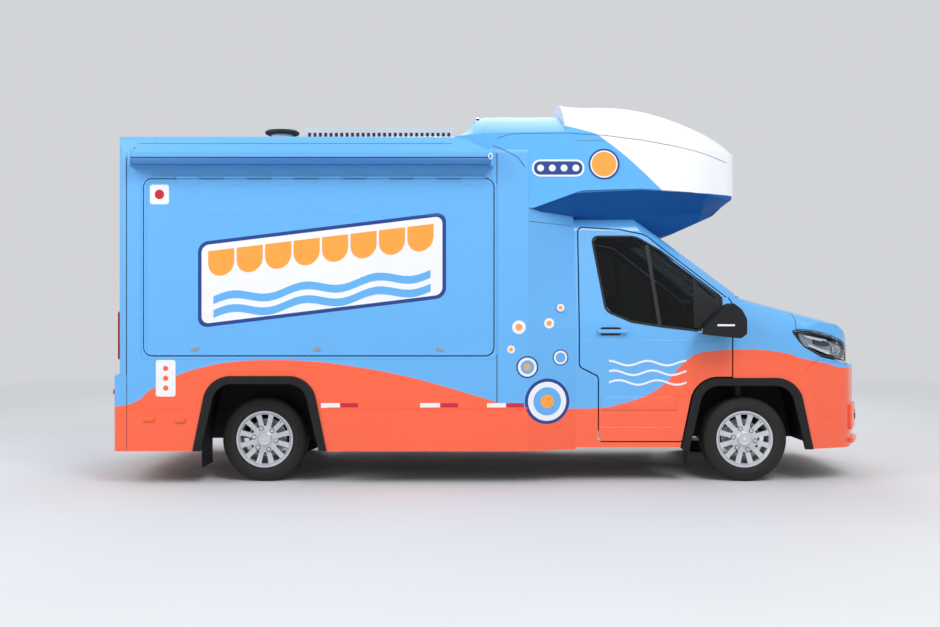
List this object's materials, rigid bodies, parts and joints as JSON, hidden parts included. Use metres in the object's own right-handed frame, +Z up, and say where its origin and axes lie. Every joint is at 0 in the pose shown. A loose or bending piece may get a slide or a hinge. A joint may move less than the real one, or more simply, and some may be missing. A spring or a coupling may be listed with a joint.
{
  "type": "food truck",
  "caption": "Food truck on a light van cab: kitchen box with a top-hinged serving hatch and awning, over-cab pod, steered front wheels, hinged doors and bonnet.",
  "frame": {"origin": "on the ground under the middle of the vehicle's outer box", "axes": "+X forwards along the vehicle, +Y to its left side, +Z up; the serving hatch is at -Y"},
  "size_m": [5.995, 2.58, 3.0999],
  "materials": {
    "body_paint": "gloss",
    "box_paint": "gloss",
    "pod_paint": "gloss",
    "bumper_paint": "gloss",
    "black_trim": "matte",
    "chassis_paint": "satin",
    "engine_metal": "matte",
    "stainless": "satin",
    "wheel_silver": "satin",
    "tyre_rubber": "matte",
    "floor_board": "satin",
    "glass": "gloss",
    "lamp_glass": "gloss",
    "tail_red": "gloss",
    "cabin_plastic": "matte",
    "seat_cloth": "matte",
    "awning_metal": "satin",
    "vent_plastic": "satin",
    "exhaust_metal": "matte"
  },
  "bodies": {
    "vehicle": {"arch_trims": "black_trim", "awning_cassette": "awning_metal", "cab_floor": "chassis_paint", "cab_joint_panels": "box_paint", "cab_roof": "body_paint", "cab_shell": "body_paint", "chassis_frame": "chassis_paint", "cooking_line": "stainless", "dashboard": "cabin_plastic", "engine_block": "engine_metal", "exhaust": "exhaust_metal", "front_bumper": "bumper_paint", "front_fenders": "body_paint", "front_suspension": "chassis_paint", "front_wheel_liners": "black_trim", "fuel_tank": "black_trim", "grille": "black_trim", "hatch_hinge": "awning_metal", "headlamps": "lamp_glass", "kitchen_floor": "floor_board", "kitchen_left_wall": "box_paint", "kitchen_left_window": "glass", "kitchen_rear_wall": "box_paint", "kitchen_right_wall": "box_paint", "kitchen_roof": "box_paint", "over_cab_pod": "pod_paint", "rear_axle": "chassis_paint", "rear_bumper": "bumper_paint", "rear_wheel_liners": "black_trim", "roof_unit": "vent_plastic", "roof_vent": "vent_plastic", "seats": "seat_cloth", "serving_counter": "stainless", "side_skirts": "bumper_paint", "tail_lamps": "tail_red", "windscreen": "glass"},
    "wheel_rear_left": {"rim_rear_left": "wheel_silver", "tyre_rear_left": "tyre_rubber"},
    "wheel_rear_right": {"rim_rear_right": "wheel_silver", "tyre_rear_right": "tyre_rubber"},
    "wheel_front_left": {"rim_front_left": "wheel_silver", "tyre_front_left": "tyre_rubber"},
    "wheel_front_right": {"rim_front_right": "wheel_silver", "tyre_front_right": "tyre_rubber"},
    "steer_left": {"knuckle_left": "engine_metal"},
    "steer_right": {"knuckle_right": "engine_metal"},
    "door_left": {"cab_door_left": "body_paint", "cab_door_window_left": "glass", "side_mirror_left": "black_trim"},
    "door_right": {"cab_door_right": "body_paint", "cab_door_window_right": "glass", "side_mirror_right": "black_trim"},
    "back_door": {"rear_door": "box_paint", "rear_door_window": "glass"},
    "hatch": {"serving_hatch": "box_paint"},
    "hood": {"bonnet": "body_paint"}
  },
  "joints": [
    {"name": "wheel_rear_left_spin", "type": "hinge", "parent": "vehicle", "child": "wheel_rear_left", "pos_m": [-1.7475, 0.87, 0.32995], "axis": [0, 1, 0], "continuous": true},
    {"name": "steer_left_turn", "type": "hinge", "parent": "vehicle", "child": "steer_left", "pos_m": [2.0125, 0.73, 0.32995], "axis": [0, 0, 1], "range_deg": [-35, 35]},
    {"name": "wheel_front_left_spin", "type": "hinge", "parent": "steer_left", "child": "wheel_front_left", "pos_m": [2.0125, 0.87, 0.32995], "axis": [0, 1, 0], "continuous": true},
    {"name": "door_left_swing", "type": "hinge", "parent": "vehicle", "child": "door_left", "pos_m": [1.874, 1.016, 1.1], "axis": [0, 0, -1], "range_deg": [0, 60]},
    {"name": "wheel_rear_right_spin", "type": "hinge", "parent": "vehicle", "child": "wheel_rear_right", "pos_m": [-1.7475, -0.87, 0.32995], "axis": [0, 1, 0], "continuous": true},
    {"name": "steer_right_turn", "type": "hinge", "parent": "vehicle", "child": "steer_right", "pos_m": [2.0125, -0.73, 0.32995], "axis": [0, 0, 1], "range_deg": [-35, 35]},
    {"name": "wheel_front_right_spin", "type": "hinge", "parent": "steer_right", "child": "wheel_front_right", "pos_m": [2.0125, -0.87, 0.32995], "axis": [0, 1, 0], "continuous": true},
    {"name": "door_right_swing", "type": "hinge", "parent": "vehicle", "child": "door_right", "pos_m": [1.874, -1.016, 1.1], "axis": [0, 0, 1], "range_deg": [0, 60]},
    {"name": "back_door_swing", "type": "hinge", "parent": "vehicle", "child": "back_door", "pos_m": [-2.849, 0.405, 1.4], "axis": [0, 0, -1], "range_deg": [0, 100]},
    {"name": "hatch_lift", "type": "hinge", "parent": "vehicle", "child": "hatch", "pos_m": [-1.295, -1.162, 2.355], "axis": [-1, 0, 0], "range_deg": [0, 90]},
    {"name": "hood_lift", "type": "hinge", "parent": "vehicle", "child": "hood", "pos_m": [2.085, 0, 1.375], "axis": [0, -1, 0], "range_deg": [0, 55]}
  ],
  "couplings": [
    {"joint": "steer_left_turn", "follows": "steer_right_turn", "ratio": 1}
  ]
}
